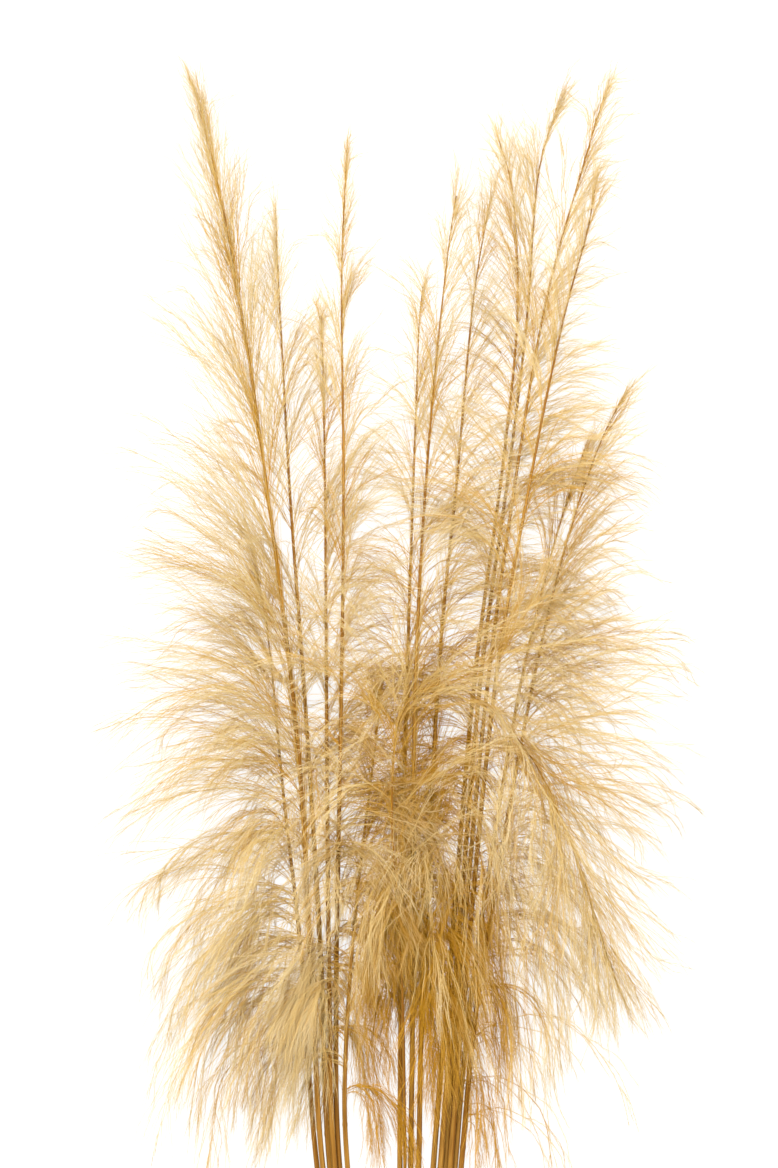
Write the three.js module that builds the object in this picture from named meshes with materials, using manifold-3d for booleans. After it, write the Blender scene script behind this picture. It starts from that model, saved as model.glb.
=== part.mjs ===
// A loose bundle of dried pampas grass, laid down on a flat surface.
//
// Millimetres. +Y runs from the cut ends to the tips, +X to the right and +Z up from the surface.
// The origin is on the surface, under the middle culm of the lower row in the gathered end.
//
// Each stem is one grown piece: a culm that tapers into its rachis, and the branches of its plume,
// which start in the middle of the rachis. At the gathered end the culms lie in two rows, the
// upper row in the grooves of the lower one. From there they fan out towards the tips.

import * as THREE from 'three';
import { mergeVertices } from 'three/addons/utils/BufferGeometryUtils.js';
import Module from 'manifold-3d';

const wasm = await Module();
wasm.setup();

// --- Driving dimensions ---------------------------------------------------------------------

// Culms
const CULM_RADIUS = 3.1;
const CULM_TIP_RADIUS = 0.5;
const CULM_TAPER = 1.5;
const CULM_SIDES = 6;
const CULM_STEP = 85;

// Gathered end
const CUT_Y = -60;
const CUT_SPREAD = 20;
const LIFT_Y = 30;
const CUT_PITCH = 4.2;
const GROOVE_GAP = 0.3;
const MIDDLE_STEM = 6;
const LEFT_GROUP = 6;
const LEFT_GROUP_SHIFT = 14;

// Branches. Angles are in degrees. Pairs run from the tip of a plume to its foot.
const BRANCH_SIDES = 3;
const BRANCH_RADIUS = [0.65, 1.3];
const BRANCH_ROOT_SHARE = 0.7;
const SEGMENT_LENGTH = 62;
const SEGMENTS = [2, 4];
const STEPS_PER_SEGMENT = 6;
const BARE_TIP = 4;
const CROWDING = 1.12;
const OPENING = [4, 58];
const OPENING_RATE = 1.3;
const SAG = [3, 135];
const SAG_POWER = 1.05;
const EARLY_SAG = [0.1, 0.8];
const HANGING = 168;
const REACH_SHARE = [0.07, 1.04];
const REACH_RATE = 1.35;
const FOOT = 0.72;
const FOOT_SHORTER = 0.2;
const ANGLE_VARIATION = 0.3;
const LENGTH_VARIATION = 0.25;
const LIFT = [-50, 92];
const STEEPEST_LIFT = [-77, 100];
const FLATTEN_ABOVE = 0.5;
const FLATTEN_BELOW = 0.3;

// Lying on the surface, and keeping clear of the other stems
const LOWEST_AXIS = 1.4;
const SETTLE_HEIGHT = 16;
const HIGH = 145;
const HIGHEST = 192;
const SIDE_LIMITS = [-300, 302];
const END_LIMITS = [-30, 1380];
const CLEARANCE = 0.4;
const MOST_TRIES = 30;
const TRY_SPREAD = 7;
const TRY_NUDGE = 1.2;
const TRY_SHORTER = 0.015;

const SEED = 20260;
const STRAW = 0xd9b77c;
const STRAW_ROUGHNESS = 0.85;

// Each stem: the points that its axis goes through from the neck of the bundle to its tip, the
// length of its plume, how many branches the plume has, how long the lowest of them are, the
// share of them on the left and how strongly they droop. Where a stem differs from the others,
// quick says how soon its branches reach their length, late how late they droop, and taper how
// late its culm gets thin.
const STEMS = [
  { path: [[-84, 240, 7], [-100, 458, 16], [-116, 602, 24], [-131, 760, 30], [-143, 838, 34]],
    plume: 500, count: 22, reach: 330, left: 0.8, droop: 1.1 },
  { path: [[-78, 240, 14], [-88, 420, 34], [-102, 666, 62], [-131, 908, 66], [-163, 1124, 50],
    [-196, 1285, 34], [-206, 1318, 30]],
    plume: 950, count: 56, reach: 410, left: 0.82, droop: 1.0, quick: 1.0, late: 2.2 },
  { path: [[-71, 240, 7], [-80, 456, 17], [-96, 717, 30], [-110, 910, 34], [-121, 1110, 30],
    [-125, 1198, 27]],
    plume: 825, count: 28, reach: 260, left: 0.72, droop: 1.0 },
  { path: [[-66, 240, 13], [-71, 420, 30], [-73, 653, 46], [-75, 920, 50], [-78, 1067, 44],
    [-82, 1096, 41]],
    plume: 740, count: 26, reach: 190, left: 0.45, droop: 0.9 },
  { path: [[-61, 240, 7], [-64, 420, 20], [-59, 680, 72], [-56, 916, 84], [-58, 1123, 76],
    [-53, 1256, 67]],
    plume: 865, count: 30, reach: 190, left: 0.5, droop: 0.8 },
  { path: [[-53, 240, 13], [-54, 365, 26], [-42, 520, 40], [-24, 668, 44], [-19, 716, 41]],
    plume: 420, count: 18, reach: 230, left: 0.65, droop: 1.1 },
  { path: [[0, 240, 7], [2, 508, 20], [8, 760, 32], [14, 940, 36], [19, 1080, 32], [23, 1122, 29]],
    plume: 730, count: 24, reach: 220, left: 0.45, droop: 1.1 },
  { path: [[5, 240, 16], [2, 420, 46], [-8, 590, 86], [-2, 685, 99], [26, 722, 104], [76, 712, 105],
    [130, 652, 102], [172, 560, 96], [210, 440, 86]],
    plume: 600, count: 38, reach: 235, left: 0.4, droop: 0.2, quick: 4.0, taper: 0.45 },
  { path: [[11, 240, 7], [13, 420, 26], [15, 720, 74], [28, 958, 88], [46, 1140, 76], [56, 1210, 69]],
    plume: 825, count: 30, reach: 265, left: 0.5, droop: 1.1 },
  { path: [[19, 240, 13], [23, 420, 28], [39, 740, 46], [56, 920, 56], [73, 1105, 52], [90, 1207, 46]],
    plume: 800, count: 28, reach: 265, left: 0.5, droop: 1.05 },
  { path: [[34, 240, 7], [49, 420, 18], [74, 720, 31], [102, 938, 54], [117, 1090, 54],
    [113, 1210, 49], [99, 1268, 44]],
    plume: 860, count: 29, reach: 265, left: 0.6, droop: 0.9 },
  { path: [[41, 240, 13], [55, 420, 29], [80, 720, 36], [109, 938, 44], [127, 1090, 44],
    [138, 1230, 40], [159, 1308, 36]],
    plume: 890, count: 29, reach: 260, left: 0.5, droop: 1.0 },
  { path: [[46, 240, 7], [60, 420, 17], [87, 720, 54], [121, 970, 82], [146, 1110, 84],
    [177, 1223, 74], [203, 1309, 66]],
    plume: 900, count: 31, reach: 250, left: 0.35, droop: 1.05 },
  { path: [[51, 240, 13], [65, 420, 30], [94, 720, 74], [129, 930, 108], [160, 1080, 100],
    [184, 1168, 90], [193, 1214, 85]],
    plume: 830, count: 24, reach: 270, left: 0.5, droop: 1.1 },
  { path: [[56, 240, 7], [73, 420, 18], [114, 688, 40], [148, 842, 54], [171, 920, 54],
    [184, 958, 52]],
    plume: 680, count: 22, reach: 300, left: 0.2, droop: 1.0 },
  { path: [[62, 240, 13], [80, 420, 26], [124, 680, 48], [159, 842, 70], [193, 950, 82],
    [217, 1003, 84]],
    plume: 760, count: 21, reach: 300, left: 0.15, droop: 1.0 },
];

// --- Small helpers --------------------------------------------------------------------------

const lerp = ([from, to], share) => THREE.MathUtils.lerp(from, to, share);
const clamp = (value, [low, high]) => THREE.MathUtils.clamp(value, low, high);
const radians = THREE.MathUtils.degToRad;

// How much of a change is done by a share of the way, when it is quick at first.
const quickAtFirst = (share, rate) => 1 - Math.exp(-rate * share);

// A number from 0 to 1 that depends only on the seed and on the whole numbers given.
function draw(...keys) {
  let hash = SEED;
  for (const key of keys) {
    hash = Math.imul(hash ^ key, 0x9e3779b1);
    hash ^= hash >>> 15;
    hash = Math.imul(hash, 0x85ebca77);
    hash ^= hash >>> 13;
  }
  return (hash >>> 0) / 2 ** 32;
}

// A factor around 1, at most `spread` more or less.
function vary(spread, ...keys) {
  return 1 + spread * (2 * draw(...keys) - 1);
}

// --- Stem axes ------------------------------------------------------------------------------

const facetDistance = CULM_RADIUS * Math.cos(Math.PI / CULM_SIDES);

// The two ends of the stretch where a culm lies flat in the gathered end. Even stems lie side by
// side on the surface, and odd ones in the grooves between them. The middle one runs along +Y,
// and the left group lies a little apart from the others.
function gatheredStretch(stem, neck) {
  const centreDistance = 2 * CULM_RADIUS + GROOVE_GAP;
  const rise = stem % 2 === 0 ? 0 : Math.sqrt(centreDistance ** 2 - CUT_PITCH ** 2);
  const x = (stem - MIDDLE_STEM) * CUT_PITCH - (stem < LEFT_GROUP ? LEFT_GROUP_SHIFT : 0);
  const cut = new THREE.Vector3(x, CUT_Y, facetDistance + rise);
  const lift = cut.clone().lerp(neck, (LIFT_Y - CUT_Y) / (neck.y - CUT_Y));
  lift.z = cut.z;
  cut.lerp(lift, CUT_SPREAD * draw(stem, 0) / (LIFT_Y - CUT_Y));
  return [cut, lift];
}

// The stem's axis as the centres of its rings, with the distance along it to each of them. It is
// straight in the gathered end and then follows a curve to the tip.
function stemAxis(stem) {
  const path = STEMS[stem].path.map((point) => new THREE.Vector3(...point));
  const [cut, lift] = gatheredStretch(stem, path[0]);
  const knots = [lift, ...path];
  const curve = new THREE.CatmullRomCurve3([cut, ...knots], false, 'catmullrom', 0.5);
  const line = [cut, lift];
  for (let span = 1; span < knots.length; span += 1) {
    const rings = Math.max(1, Math.round(knots[span].distanceTo(knots[span - 1]) / CULM_STEP));
    for (let ring = 1; ring <= rings; ring += 1) {
      line.push(curve.getPoint((span + ring / rings) / knots.length));
    }
  }
  const distance = [0];
  for (let i = 1; i < line.length; i += 1) {
    distance.push(distance[i - 1] + line[i].distanceTo(line[i - 1]));
  }
  return { line, distance, length: distance.at(-1), taper: STEMS[stem].taper ?? CULM_TAPER };
}

// The point of the axis at a distance along it.
function pointAlong(axis, distance) {
  const goal = clamp(distance, [0, axis.length]);
  let i = 1;
  while (i < axis.distance.length - 1 && axis.distance[i] < goal) {
    i += 1;
  }
  const share = (goal - axis.distance[i - 1]) / (axis.distance[i] - axis.distance[i - 1]);
  return axis.line[i - 1].clone().lerp(axis.line[i], share);
}

function culmRadius(axis, distance) {
  const straight = LIFT_Y - CUT_Y;
  const share = Math.max(0, (distance - straight) / (axis.length - straight));
  return CULM_RADIUS - (CULM_RADIUS - CULM_TIP_RADIUS) * share ** axis.taper;
}

// --- Branches -------------------------------------------------------------------------------

// What sinks below the surface is laid on it instead, more and more gently as it gets lower. What
// stands too high settles in the same way.
function laidHeight(z) {
  if (z > HIGH) {
    const room = HIGHEST - HIGH;
    return HIGHEST - room * Math.exp((HIGH - z) / room);
  }
  const room = SETTLE_HEIGHT - LOWEST_AXIS;
  return z < SETTLE_HEIGHT ? LOWEST_AXIS + room * Math.exp((z - SETTLE_HEIGHT) / room) : z;
}

// A branch that would pass the limits of the bundle is drawn in towards its root, and then laid.
function laidDown(line) {
  let fit = 1;
  for (const [key, [least, most]] of [['x', SIDE_LIMITS], ['y', END_LIMITS]]) {
    const root = line[0][key];
    for (const point of line) {
      const reach = point[key] - root;
      if (Math.abs(reach) > 1e-6) {
        fit = Math.min(fit, Math.max(0, (reach > 0 ? most - root : least - root) / reach));
      }
    }
  }
  return line.map((point, i) => {
    const laid = line[0].clone().lerp(point, fit);
    return i === 0 ? laid : laid.setZ(laidHeight(laid.z));
  });
}

// Where on the rachis a branch starts, and how it leaves it. Branches near the tip are short and
// nearly upright. Further down they are longer and open out, and they droop back towards the cut
// ends. At the foot they are a little shorter again. Each new attempt aims a little elsewhere.
function branchHabit(stem, axis, branch, attempt) {
  const {
    plume, count, reach, left, droop, quick = REACH_RATE, late = SAG_POWER,
  } = STEMS[stem];
  const low = ((branch + 0.5) / count) ** CROWDING;
  const aim = TRY_SPREAD * attempt * (draw(stem, branch, attempt, 3) - 0.5);
  const lift = radians(clamp(lerp(LIFT, draw(stem, branch, 2)) + aim, STEEPEST_LIFT));
  const nudge = TRY_NUDGE * attempt * (draw(stem, branch, attempt, 5) - 0.5);
  const opening = lerp(OPENING, quickAtFirst(low, OPENING_RATE)) * vary(ANGLE_VARIATION, stem, branch, 4);
  const foot = 1 - FOOT_SHORTER * clamp((low - FOOT) / (1 - FOOT), [0, 1]);
  const span = reach * lerp(REACH_SHARE, quickAtFirst(low, quick)) * foot * (1 - TRY_SHORTER * attempt);
  return {
    low,
    rootDistance: axis.length - BARE_TIP - (plume - BARE_TIP) * low,
    side: draw(stem, branch, 1) < left ? -1 : 1,
    lift,
    flatten: lift > 0 ? FLATTEN_ABOVE : FLATTEN_BELOW,
    opening: radians(opening + nudge),
    sag: radians(lerp(SAG, low ** late)) * droop * vary(ANGLE_VARIATION, stem, branch, 6),
    early: lerp(EARLY_SAG, low),
    length: span * vary(LENGTH_VARIATION, stem, branch, 8),
  };
}

// The axis of one branch, from the middle of the rachis to its free end. It turns until it hangs
// nearly straight back along the stem, and no further.
function branchAxis(stem, axis, branch, attempt) {
  const habit = branchHabit(stem, axis, branch, attempt);
  const { rootDistance, side, lift, flatten, length, early } = habit;
  const root = pointAlong(axis, rootDistance);
  const along = pointAlong(axis, rootDistance + 5).sub(pointAlong(axis, rootDistance - 5)).normalize();
  const outward = new THREE.Vector3(along.y, -along.x, 0).setLength(side * Math.cos(lift));
  outward.z = flatten * Math.sin(lift);
  const steps = STEPS_PER_SEGMENT * clamp(Math.round(length / SEGMENT_LENGTH), SEGMENTS);
  const points = [root];
  const point = root.clone();
  for (let step = 1; step <= steps; step += 1) {
    const share = (step - 0.5) / steps;
    const sagged = habit.opening + habit.sag * ((1 + early) * share - early * share ** 2);
    const angle = Math.min(sagged, radians(HANGING));
    point.addScaledVector(along, Math.cos(angle) * length / steps);
    point.addScaledVector(outward, Math.sin(angle) * length / steps);
    if (step % STEPS_PER_SEGMENT === 0) {
      points.push(point.clone());
    }
  }
  const rootRadius = Math.min(
    lerp(BRANCH_RADIUS, habit.low), BRANCH_ROOT_SHARE * culmRadius(axis, rootDistance));
  const normal = along.clone().cross(outward).normalize();
  return { line: laidDown(points), normal, radiusAt: (share) => rootRadius * (1 - share ** 2) };
}

// --- Clearance between stems ----------------------------------------------------------------

// The straight stretches of a swept line, each with the larger of its end radii.
function stretches(line, radiusAt, stem) {
  const list = [];
  for (let i = 1; i < line.length; i += 1) {
    const radius = Math.max(radiusAt((i - 1) / (line.length - 1)), radiusAt(i / (line.length - 1)));
    list.push({ a: line[i - 1], b: line[i], radius, stem });
  }
  return list;
}

// The shortest distance between two straight stretches.
function distanceBetween(p, q) {
  const u = p.b.clone().sub(p.a);
  const v = q.b.clone().sub(q.a);
  const w = p.a.clone().sub(q.a);
  const uu = u.dot(u);
  const uv = u.dot(v);
  const vv = v.dot(v);
  const uw = u.dot(w);
  const vw = v.dot(w);
  const spread = uu * vv - uv * uv;
  let s = spread < 1e-6 ? 0 : clamp((uv * vw - vv * uw) / spread, [0, 1]);
  const t = clamp((uv * s + vw) / vv, [0, 1]);
  s = clamp((uv * t - uw) / uu, [0, 1]);
  return w.addScaledVector(u, s).addScaledVector(v, -t).length();
}

function boxesApart(p, q, gap) {
  return ['x', 'y', 'z'].some((key) => Math.max(p.a[key], p.b[key]) + gap < Math.min(q.a[key], q.b[key])
    || Math.max(q.a[key], q.b[key]) + gap < Math.min(p.a[key], p.b[key]));
}

// Whether a branch keeps clear of every other stem and of their branches so far.
function isClear(candidate, placed) {
  return candidate.every((p) => placed.every((q) => {
    const gap = p.radius + q.radius + CLEARANCE;
    return q.stem === p.stem || boxesApart(p, q, gap) || distanceBetween(p, q) >= gap;
  }));
}

// --- Solids ---------------------------------------------------------------------------------

// Bends a closed unit cylinder or cone, which stands on +Y, along a line of points.
function sweep(geometry, line, radiusAt, normal) {
  const last = line.length - 1;
  const frames = line.map((point, i) => {
    const tangent = line[Math.min(i + 1, last)].clone().sub(line[Math.max(i - 1, 0)]).normalize();
    const side = normal.clone().cross(tangent).normalize();
    const up = side.clone().cross(tangent).normalize();
    return { point, side, up };
  });
  const position = geometry.attributes.position;
  const vertex = new THREE.Vector3();
  for (let i = 0; i < position.count; i += 1) {
    vertex.fromBufferAttribute(position, i);
    const share = vertex.y + 0.5;
    const frame = frames[Math.round(share * last)];
    const spoke = Math.hypot(vertex.x, vertex.z);
    const scale = spoke < 1e-6 ? 0 : radiusAt(share) / spoke;
    const moved = frame.point.clone();
    moved.addScaledVector(frame.side, vertex.x * scale);
    moved.addScaledVector(frame.up, vertex.z * scale);
    position.setXYZ(i, moved.x, moved.y, moved.z);
  }
  return geometry;
}

function culmGeometry(axis) {
  const last = axis.line.length - 1;
  const radiusAt = (share) => culmRadius(axis, axis.distance[Math.round(share * last)]);
  const unit = new THREE.CylinderGeometry(1, 1, 1, CULM_SIDES, last, false, Math.PI / CULM_SIDES);
  const geometry = sweep(unit, axis.line, radiusAt, new THREE.Vector3(0, 0, 1));
  return { geometry, line: axis.line, radiusAt };
}

function branchGeometry({ line, normal, radiusAt }) {
  const unit = new THREE.ConeGeometry(1, 1, BRANCH_SIDES, line.length - 1);
  return sweep(unit, line, radiusAt, normal);
}

function toSolid(geometry) {
  geometry.deleteAttribute('normal');
  geometry.deleteAttribute('uv');
  const merged = mergeVertices(geometry, 1e-5);
  return new wasm.Manifold(new wasm.Mesh({
    numProp: 3,
    vertProperties: new Float32Array(merged.attributes.position.array),
    triVerts: new Uint32Array(merged.index.array),
  }));
}

function toGeometry(solid) {
  const mesh = solid.getMesh();
  const geometry = new THREE.BufferGeometry();
  geometry.setAttribute('position', new THREE.BufferAttribute(new Float32Array(mesh.vertProperties), 3));
  geometry.setIndex(new THREE.BufferAttribute(new Uint32Array(mesh.triVerts), 1));
  return geometry;
}

// --- The bundle -----------------------------------------------------------------------------

const axes = STEMS.map((_, stem) => stemAxis(stem));
const culms = axes.map((axis) => culmGeometry(axis));
const solids = culms.map((culm) => [toSolid(culm.geometry)]);
const placed = culms.flatMap((culm, stem) => stretches(culm.line, culm.radiusAt, stem));

// Branches are placed from the foot of every plume upwards, one from each stem in turn. One that
// would touch another stem is aimed again, and left out where it finds no clear way.
const mostBranches = Math.max(...STEMS.map(({ count }) => count));
for (let turn = mostBranches - 1; turn >= 0; turn -= 1) {
  for (let stem = 0; stem < STEMS.length; stem += 1) {
    for (let attempt = 0; attempt < MOST_TRIES && turn < STEMS[stem].count; attempt += 1) {
      const branch = branchAxis(stem, axes[stem], turn, attempt);
      const candidate = stretches(branch.line, branch.radiusAt, stem);
      if (isClear(candidate, placed)) {
        placed.push(...candidate);
        solids[stem].push(toSolid(branchGeometry(branch)));
        break;
      }
    }
  }
}

const bundle = new THREE.Group();
solids.forEach((pieces, stem) => {
  const geometry = toGeometry(wasm.Manifold.union(pieces));
  const material = new THREE.MeshStandardMaterial({ color: STRAW, roughness: STRAW_ROUGHNESS });
  const mesh = new THREE.Mesh(geometry, material);
  mesh.name = `plume_${String(stem + 1).padStart(2, '0')}`;
  bundle.add(mesh);
});

export default bundle;
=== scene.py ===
# %% [markdown]
# # A bundle of dried pampas grass
#
# Sixteen cut stems lie loosely together on a pale floor, and the camera looks straight down on
# them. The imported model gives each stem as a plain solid: a culm, which is the stalk, with the
# main branches of its plume. Here each of those solids is replaced by two finer pieces. One is
# the culm, with its fibres, its joints and its cut end. The other is the hair: every branch with
# the side branches and fine hairs that grow on it.

import math

import bpy
import numpy as np
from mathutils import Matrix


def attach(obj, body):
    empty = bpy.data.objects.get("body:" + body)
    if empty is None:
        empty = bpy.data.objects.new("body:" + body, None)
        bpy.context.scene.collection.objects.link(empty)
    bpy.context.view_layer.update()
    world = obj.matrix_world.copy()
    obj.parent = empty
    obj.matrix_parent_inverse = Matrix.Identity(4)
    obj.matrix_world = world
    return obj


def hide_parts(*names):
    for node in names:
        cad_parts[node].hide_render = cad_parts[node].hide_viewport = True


MM = 0.001

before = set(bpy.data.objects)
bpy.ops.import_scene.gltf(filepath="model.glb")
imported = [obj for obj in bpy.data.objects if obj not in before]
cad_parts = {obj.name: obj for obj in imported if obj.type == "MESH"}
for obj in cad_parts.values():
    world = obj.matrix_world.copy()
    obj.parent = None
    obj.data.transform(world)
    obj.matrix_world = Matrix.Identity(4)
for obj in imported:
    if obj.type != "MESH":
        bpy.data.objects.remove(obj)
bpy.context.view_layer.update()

# %% [markdown]
# ## Camera
#
# The photograph shows the bundle from the front. Lying down, the same view is from straight
# above. A long lens from far off keeps hair that lies high at nearly the same scale as hair on
# the floor. One pixel of the photograph is one millimetre here, so a frame 1168 pixels high takes
# in 1168 millimetres.

# %% Camera
VIEW_CENTRE = (-0.011, 0.824)
VIEW_HEIGHT = 1.168
VIEW_PLANE = 0.045
LENS = 135
SENSOR = 36
FARTHEST_SEEN = 50

camera_data = bpy.data.cameras.new("camera")
camera_data.lens = LENS
camera_data.sensor_width = SENSOR
camera_data.clip_end = FARTHEST_SEEN
camera = bpy.data.objects.new("camera", camera_data)
bpy.context.scene.collection.objects.link(camera)
camera_height = VIEW_PLANE + VIEW_HEIGHT * LENS / SENSOR
camera.location = (*VIEW_CENTRE, camera_height)
bpy.context.scene.camera = camera
print("camera height, metres:", round(camera_height, 3))

# %% [markdown]
# ## Light
#
# The photograph was lit from all round, in front of white. A white sky does most of that. One wide
# lamp above the tips and one lower at the side give the hair a little modelling. Both face the
# middle of the bundle.

# %% Sky and lamps
SKY_WHITE = (1.0, 1.0, 1.0, 1.0)
SKY_STRENGTH = 1.0
LIT_PLACE = (0.0, 0.75, 0.05)

bpy.context.scene.view_settings.view_transform = "Standard"

sky = bpy.data.worlds.new("sky")
sky.use_nodes = True
sky_light = sky.node_tree.nodes["Background"]
sky_light.inputs["Color"].default_value = SKY_WHITE
sky_light.inputs["Strength"].default_value = SKY_STRENGTH
bpy.context.scene.world = sky


def add_lamp(name, place, size, watts):
    """A square lamp at a place, turned to face the middle of the bundle."""
    data = bpy.data.lights.new(name, "AREA")
    data.shape = "SQUARE"
    data.size = size
    data.energy = watts
    lamp = bpy.data.objects.new(name, data)
    bpy.context.scene.collection.objects.link(lamp)
    lamp.location = place
    direction = lamp.location.copy()
    for axis in range(3):
        direction[axis] = LIT_PLACE[axis] - place[axis]
    lamp.rotation_euler = direction.to_track_quat("-Z", "Y").to_euler()
    return lamp


add_lamp("lamp_above_tips", place=(-0.7, 1.9, 3.0), size=2.0, watts=150)
add_lamp("lamp_at_side", place=(1.9, 0.5, 1.6), size=1.2, watts=18)

# %% [markdown]
# ## Wires
#
# Materials and geometry are both made from nodes. A small class wraps the output of a node, so
# that a sum such as `1 - mask` written in Python adds the Math node that works it out. One helper
# adds any other node: it sets the node's own choices first, and then its inputs.


# %% Wires and nodes
class Wire:
    """The output of a node. Python's signs on it add Math nodes."""

    def __init__(self, tree, socket):
        self.tree = tree
        self.socket = socket

    def named(self, name):
        """Another output of the same node."""
        return Wire(self.tree, self.socket.node.outputs[name])

    def sum_with(self, operation, first, second):
        return add_node(self.tree, "ShaderNodeMath", {"operation": operation}, {0: first, 1: second})

    def __add__(self, other):
        return self.sum_with("ADD", self, other)

    def __radd__(self, other):
        return self.sum_with("ADD", other, self)

    def __sub__(self, other):
        return self.sum_with("SUBTRACT", self, other)

    def __rsub__(self, other):
        return self.sum_with("SUBTRACT", other, self)

    def __mul__(self, other):
        return self.sum_with("MULTIPLY", self, other)

    def __rmul__(self, other):
        return self.sum_with("MULTIPLY", other, self)

    def __truediv__(self, other):
        return self.sum_with("DIVIDE", self, other)


def add_node(tree, kind, settings=None, inputs=None):
    """Adds a node, sets it up, fills or links its inputs, and returns its first shown output."""
    node = tree.nodes.new(kind)
    for name, value in (settings or {}).items():
        setattr(node, name, value)
    for key, value in (inputs or {}).items():
        socket = node.inputs[key]
        if isinstance(value, Wire):
            tree.links.new(value.socket, socket)
        elif socket.type == "RGBA":
            socket.default_value = (*value, 1.0)
        else:
            socket.default_value = value
    shown = [socket for socket in node.outputs if socket.enabled]
    return Wire(tree, shown[0])


# %% [markdown]
# ## Blends and finishes
#
# Colours are blended by Mix nodes, because a Math node would turn them grey. Most changes from one
# colour to another are smooth, so one helper gives a share that rises smoothly between two values.
# Another makes an empty finish to fill.


# %% Blends and finishes
def blend_colour(tree, share, first, second):
    """A colour between two others."""
    return add_node(
        tree,
        "ShaderNodeMix",
        {"data_type": "RGBA"},
        {"Factor": share, 6: first, 7: second},
    )


def smooth_share(tree, value, start, end, most=1.0):
    """Rises smoothly from 0 to `most` as a value goes from start to end."""
    return add_node(
        tree,
        "ShaderNodeMapRange",
        {"interpolation_type": "SMOOTHSTEP"},
        {"Value": value, "From Min": start, "From Max": end, "To Min": 0.0, "To Max": most},
    )


def new_material(name):
    """An empty node material, with the node that everything ends in."""
    material = bpy.data.materials.new(name)
    material.use_nodes = True
    tree = material.node_tree
    tree.nodes.clear()
    output = tree.nodes.new("ShaderNodeOutputMaterial")
    return material, tree, output


print("helpers:", [helper.__name__ for helper in (blend_colour, smooth_share, new_material)])

# %% [markdown]
# ## Floor
#
# The photograph's background is plain white with no shadow. The floor is a matt white sheet that
# also gives off some light of its own, as a light table does. That keeps it white between the
# stems, and shines through the hair from below.

# %% Floor
FLOOR_SIZE = 12.0
FLOOR_GREY = (0.12, 0.12, 0.12)
FLOOR_GLOW = (1.0, 0.995, 0.985)
FLOOR_GLOW_STRENGTH = 0.93

floor_mesh = bpy.data.meshes.new("floor")
half = FLOOR_SIZE / 2
floor_mesh.from_pydata(
    [(-half, -half, 0), (half, -half, 0), (half, half, 0), (-half, half, 0)], [], [(0, 1, 2, 3)]
)
floor = bpy.data.objects.new("floor", floor_mesh)
bpy.context.scene.collection.objects.link(floor)

floor_white, tree, output = new_material("floor_white")
matt = add_node(tree, "ShaderNodeBsdfDiffuse", None, {"Color": FLOOR_GREY})
glow = add_node(
    tree, "ShaderNodeEmission", None, {"Color": FLOOR_GLOW, "Strength": FLOOR_GLOW_STRENGTH}
)
both = add_node(tree, "ShaderNodeAddShader", None, {0: matt, 1: glow})
tree.links.new(both.socket, output.inputs["Surface"])
floor_mesh.materials.append(floor_white)
print("floor:", FLOOR_SIZE, "m across")

# %% [markdown]
# ## The stems
#
# Sixteen stems were followed in the photograph, from where they leave its lower edge to their
# tips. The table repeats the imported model's own values in millimetres: the points that each stem
# goes through, the length of its plume, how many main branches it has, how long the lowest are,
# the share of them on the left, and how strongly they droop. Two stems also say how quickly their
# branches grow longer down the plume, one how late they start to droop, and one how its culm
# tapers.

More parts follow.
